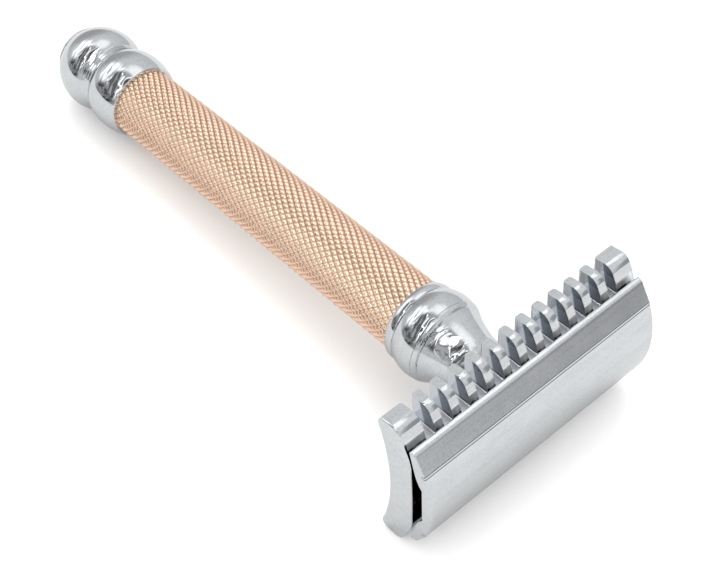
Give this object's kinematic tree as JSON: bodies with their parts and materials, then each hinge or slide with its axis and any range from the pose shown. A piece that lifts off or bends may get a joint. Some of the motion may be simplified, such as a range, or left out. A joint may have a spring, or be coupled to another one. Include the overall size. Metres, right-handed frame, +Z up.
{
  "type": "safety razor",
  "caption": "Three-piece open-comb safety razor for double-edge blades, with a chromed head and beaded ends and a knurled rose-gold grip.",
  "frame": {"origin": "centre of the razor's bounding box, at its lowest point, the floor it lies on", "axes": "+X along the head, +Y from the head to the knob, +Z up; the razor lies on its knob and its lower comb"},
  "size_m": [0.0434, 0.1096, 0.0248],
  "materials": {
    "head_chrome": "bright chrome plate",
    "handle_chrome": "bright chrome plate",
    "grip_rose_gold": "rose-gold plate on diamond knurling",
    "stud_steel": "plain turned steel",
    "core_steel": "plain drawn rod, hidden inside the handle"
  },
  "bodies": {
    "plate": {"comb_plate": "head_chrome"},
    "cap": {"top_cap": "head_chrome", "cap_stud": "stud_steel", "cap_posts": "stud_steel"},
    "handle": {"neck_collar": "handle_chrome", "grip_sleeve": "grip_rose_gold", "core_rod": "core_steel", "rear_collar": "handle_chrome", "end_knob": "handle_chrome"}
  },
  "joints": [
    {"name": "handle_twist", "type": "hinge", "parent": "plate", "child": "handle", "pos_m": [0, -0.04587, 0.0123], "axis": [0, 0.9984, -0.0559], "range_deg": [-180, 3061]},
    {"name": "cap_lift", "type": "slide", "parent": "plate", "child": "cap", "axis": [0, -0.9984, 0.0559], "range_m": [-0.0004, 0.0068]}
  ],
  "couplings": [
    {"joint": "handle_twist", "follows": "cap_lift", "rad_per_m": 7854}
  ]
}
